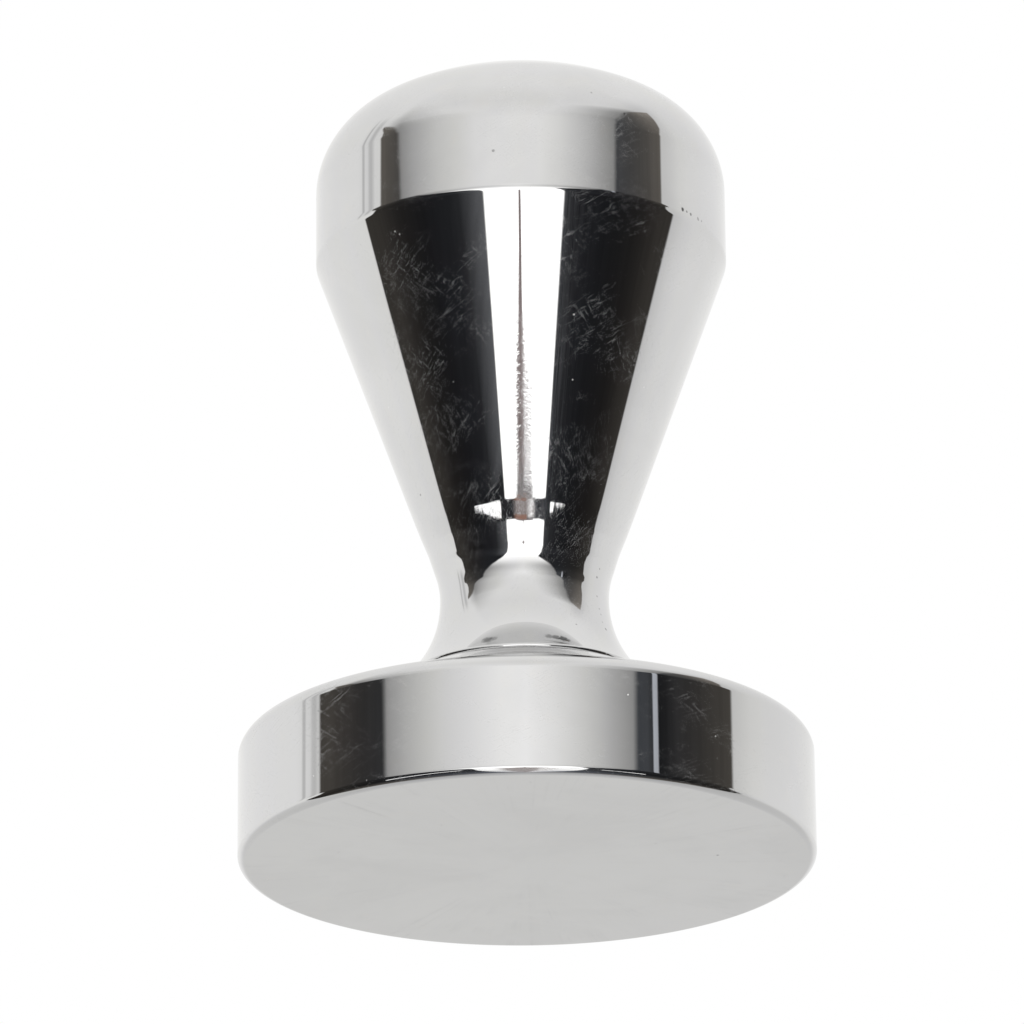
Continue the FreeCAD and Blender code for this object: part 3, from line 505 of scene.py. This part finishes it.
def handle_outline():
    cf, cn, ck = (WAIST + FLARE, WAIST_UP), (WAIST + NECK, WAIST_UP), (BAND - KNOB, BAND_LOW)
    half = deg(20.0)
    for _ in range(30):
        dx, dz = cn[0] - ck[0], cn[1] - ck[1]
        error = dx * math.cos(half) - dz * math.sin(half) - (NECK + KNOB)
        half -= error / (-dx * math.sin(half) - dz * math.cos(half))
    foot_round = 0.28
    a_foot = math.pi + math.asin((WAIST_UP - FOOT) / FLARE)
    # fillet between the flat foot (z = FOOT) and the flare, inside the metal
    cz = FOOT + foot_round
    cx = cf[0] - math.sqrt((FLARE + foot_round) ** 2 - (cf[1] - cz) ** 2)
    touch = math.atan2(cf[1] - cz, cf[0] - cx)
    pts = [(4.2, FOOT), (7.0, FOOT), (10.0, FOOT), (cx - 0.3, FOOT), (cx - 0.02, FOOT)]
    pts += sweep_arc((cx, cz), foot_round, -math.pi / 2, touch, deg(8))
    start = math.pi + math.atan2(cf[1] - cz, cf[0] - cx)
    pts += sweep_arc(cf, FLARE, start, math.pi, deg(0.8))[1:]
    pts += sweep_arc(cn, NECK, math.pi, math.pi - half, deg(0.8))[1:]
    p_neck = pts[-1]
    p_knob = (ck[0] + KNOB * math.cos(half), ck[1] - KNOB * math.sin(half))
    # the blend line where the neck cut meets the cone: a slight dip in the slope
    length = p_knob[1] - p_neck[1]
    extra = [(31.06, 0.0), (32.4, 0.1), (32.9, 0.7), (33.3, 1.25), (34.0, 1.9), (34.80, 2.2), (34.86, 1.6), (35.15, 1.0), (35.6, 0.6), (36.6, 0.25), (38.5, 0.0)]

    def more(z):
        for (z0, e0), (z1, e1) in zip(extra, extra[1:]):
            if z0 <= z <= z1:
                return deg(e0 + (e1 - e0) * (z - z0) / (z1 - z0))
        return 0.0

    zs = [p_neck[1] + 0.05 * i for i in range(1, 150)] + [p_neck[1] + 7.5 + 0.6 * i for i in range(60)]
    zs = [z for z in zs if z < p_knob[1] - 0.4] + [p_knob[1] - 0.3, p_knob[1] - 0.15, p_knob[1] - 0.05]
    slope = math.tan(half)
    sink, z_prev, rows = 0.0, p_knob[1], []
    for z in reversed(zs):
        n = max(1, int(abs(z_prev - z) / 0.05))
        for i in range(n):
            zz = z_prev + (z - z_prev) * (i + 0.5) / n
            sink -= (math.tan(half + more(zz)) - slope) * abs(z_prev - z) / n
        rows.append((z, sink))
        z_prev = z
    total = sink
    for z, d in reversed(rows):
        back = total * max(0.0, min(1.0, (33.0 - z) / (33.0 - p_neck[1])))
        pts.append((p_neck[0] + (z - p_neck[1]) * slope + d - back, z))
    pts += sweep_arc(ck, KNOB, -half, 0.0, deg(1.0))
    pts += [(BAND, BAND_LOW + 0.02), (BAND, BAND_LOW + 0.1)]
    pts += straight((BAND, BAND_LOW + 0.4), (BAND, BAND_HIGH - 0.4), (0.0, 0.25, 0.5, 0.75, 1.0))
    pts += [(BAND, BAND_HIGH - 0.1), (BAND, BAND_HIGH - 0.02)]
    cs = (BAND - SHOULDER, BAND_HIGH)
    rise = TOP - BAND_HIGH - SHOULDER
    crown = SHOULDER + (cs[0] ** 2 + rise * rise) / (2 * rise)
    a = math.atan2(cs[1] - (TOP - crown), cs[0])
    pts += sweep_arc(cs, SHOULDER, 0.0, a, deg(0.9))
    pts += sweep_arc((0.0, TOP - crown), crown, a, math.pi / 2, deg(0.7))[1:]
    return pts


def base_outline():
    rad, rim, rim_round, face = 29.0, 12.6, 1.7, 0.8
    cr, cf = (rad - rim_round, rim - rim_round), (WAIST + FLARE, WAIST_UP)
    dx, dz = cf[0] - cr[0], cf[1] - cr[1]
    slope = math.acos((FLARE + rim_round) / math.hypot(dx, dz)) - math.atan2(-dx, dz)
    edge = 0.12
    cz = HUB - edge
    cx = cf[0] - math.sqrt((FLARE + edge) ** 2 - (cf[1] - cz) ** 2)
    pts = [(0.0, 0.0), (6.0, 0.0), (12.0, 0.0), (18.0, 0.0), (24.0, 0.0), (27.6, 0.0), (28.15, 0.0)]
    pts += sweep_arc((rad - face, face), face, -math.pi / 2, 0.0, deg(3))
    pts += straight((rad, face), (rad, rim - rim_round))[1:-1]
    pts += sweep_arc(cr, rim_round, 0.0, math.pi / 2 - slope, deg(2))
    p_flare = (cf[0] - FLARE * math.sin(slope), cf[1] - FLARE * math.cos(slope))
    pts += straight(pts[-1], p_flare)[1:-1]
    a_end = math.pi + math.atan2(cf[1] - cz, cf[0] - cx)
    pts += sweep_arc(cf, FLARE, 1.5 * math.pi - slope, a_end, deg(0.8))
    touch = math.atan2(cf[1] - cz, cf[0] - cx)
    pts += sweep_arc((cx, cz), edge, touch, math.pi / 2, deg(12))[1:]
    pts += [(cx - 0.3, HUB), (10.0, HUB), (7.0, HUB), (4.2, HUB)]
    return pts


def turned(name, node, outline, shrink=1.0):
    """The outline swept round Z, joined to the node's own tapped hole at radius 4.2."""
    bm = bmesh.new()
    rings = []
    for r, z in outline:
        if r < 1e-6:
            rings.append([bm.verts.new((0.0, 0.0, z / 1000.0))])
            continue
        k = r * shrink / 1000.0
        ring = []
        for i in range(AROUND):
            t = 2 * math.pi * (i + 0.5) / AROUND
            ring.append(bm.verts.new((k * math.cos(t), k * math.sin(t), z / 1000.0)))
        rings.append(ring)
    for a, b in zip(rings, rings[1:]):
        for i in range(AROUND):
            j = (i + 1) % AROUND
            if len(a) == 1:
                bm.faces.new((a[0], b[i], b[j]))
            elif len(b) == 1:
                bm.faces.new((a[i], a[j], b[0]))
            else:
                bm.faces.new((a[i], a[j], b[j], b[i]))
    bmesh.ops.recalc_face_normals(bm, faces=bm.faces)
    mouth_z = (outline[0] if outline[0][0] > 0 else outline[-1])[1] / 1000.0
    open_ring = rings[0] if outline[0][0] > 0 else rings[-1]
    # the hole
    hole = bmesh.new()
    hole.from_mesh(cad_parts[node].data)
    bmesh.ops.remove_doubles(hole, verts=hole.verts, dist=2e-7)
    gone = [f for f in hole.faces if any(math.hypot(v.co.x, v.co.y) > 0.00423 or v.co.z > 0.06 for v in f.verts)]
    bmesh.ops.delete(hole, geom=gone, context="FACES")
    loose = [v for v in hole.verts if not v.link_faces]
    bmesh.ops.delete(hole, geom=loose, context="VERTS")
    kept = {}
    for v in hole.verts:
        kept[v.index] = bm.verts.new(v.co)
    for f in hole.faces:
        try:
            bm.faces.new([kept[v.index] for v in f.verts])
        except ValueError:
            pass
    rim_edges = []
    bm.edges.ensure_lookup_table()
    for e in hole.edges:
        if e.is_boundary:
            a, b = kept[e.verts[0].index], kept[e.verts[1].index]
            found = bm.edges.get((a, b))
            if found and abs(a.co.z - mouth_z) < 1e-6 and abs(b.co.z - mouth_z) < 1e-6:
                rim_edges.append(found)
    print(name, "hole faces", len(hole.faces), "open edges", sum(e.is_boundary for e in hole.edges), "at the mouth", len(rim_edges))
    hole.free()
    # drop the innermost ring of the sweep onto the hole's own mouth
    second = rings[1] if open_ring is rings[0] else rings[-2]
    bmesh.ops.delete(bm, geom=open_ring, context="VERTS")
    loop = [bm.edges.get((second[i], second[(i + 1) % AROUND])) for i in range(AROUND)]
    if rim_edges:
        made = bmesh.ops.bridge_loops(bm, edges=rim_edges + loop)
        for f in made["faces"]:
            want = -1.0 if node == "handle" else 1.0
            f.normal_update()
            if f.normal.z * want < 0:
                f.normal_flip()
    for f in bm.faces:
        f.smooth = True
    for e in bm.edges:
        if len(e.link_faces) == 2 and e.calc_face_angle(0.0) > deg(32):
            e.smooth = False
    for e in loop:
        if e is not None and e.is_valid:
            e.smooth = True
    me = bpy.data.meshes.new(name)
    bm.to_mesh(me)
    bm.free()
    o = bpy.data.objects.new(name, me)
    scene.collection.objects.link(o)
    return o


handle = turned("handle_turned", "handle", handle_outline())
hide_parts("handle")
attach(handle, "handle")
handle.data.materials.append(chrome)

base = turned("tamping_base_turned", "tamping_base", base_outline(), shrink=0.99965)
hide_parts("tamping_base")
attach(base, "base")
base.data.materials.append(steel)


# ------------------------------------------------------------ floor and light
def floor_material():
    m = bpy.data.materials.new("pale_sweep")
    m.use_nodes = True
    T = Tree(m.node_tree)
    out = T.node("ShaderNodeOutputMaterial")
    coord = T.node("ShaderNodeTexCoord")
    n = T.noise(coord.outputs["Object"], 26.0, 4.0, 0.6)
    d = T.node("ShaderNodeBsdfDiffuse")
    T.put(d.inputs["Color"], T.mix(n, (0.86, 0.86, 0.86), (0.90, 0.90, 0.90)))
    clear = T.node("ShaderNodeBsdfTransparent")
    geo = T.node("ShaderNodeNewGeometry")
    mx = T.node("ShaderNodeMixShader")
    T.t.links.new(geo.outputs["Backfacing"], mx.inputs[0])
    T.t.links.new(d.outputs[0], mx.inputs[1])
    T.t.links.new(clear.outputs[0], mx.inputs[2])
    T.t.links.new(mx.outputs[0], out.inputs["Surface"])
    return m


me = bpy.data.meshes.new("floor")
s = 2.5
me.from_pydata([(-s, -s, -0.0003), (s, -s, -0.0003), (s, s, -0.0003), (-s, s, -0.0003)], [], [(0, 1, 2, 3)])
floor = bpy.data.objects.new("floor", me)
scene.collection.objects.link(floor)
me.materials.append(floor_material())
floor.visible_glossy = False

lamp = bpy.data.lights.new("overhead_softbox", "AREA")
lamp.shape = "DISK"
lamp.size = 0.9
lamp.energy = 9.0
light = bpy.data.objects.new("overhead_softbox", lamp)
light.location = (0.12, -0.1, 1.1)
light.rotation_euler = (Vector((0.12, -0.1, 1.1))).to_track_quat("Z", "Y").to_euler()
light.visible_glossy = False
scene.collection.objects.link(light)


# ------------------------------------------------------------ camera
ELEVATION = 0.35764  # looks upward by this angle, radians
ROLL = 0.0097147
cam_data = bpy.data.cameras.new("camera")
cam_data.sensor_width = 36.0
cam_data.lens = 36.0 / 1024.0 * 6727.33
cam_data.clip_start = 0.01
cam_data.clip_end = 50.0
cam = bpy.data.objects.new("camera", cam_data)
aim = Matrix.Rotation(math.pi / 2 + ELEVATION, 4, "X") @ Matrix.Rotation(-ROLL, 4, "Z")
cam.matrix_world = Matrix.Translation((-0.00119, -0.64275, -0.20264)) @ aim
scene.collection.objects.link(cam)
scene.camera = cam
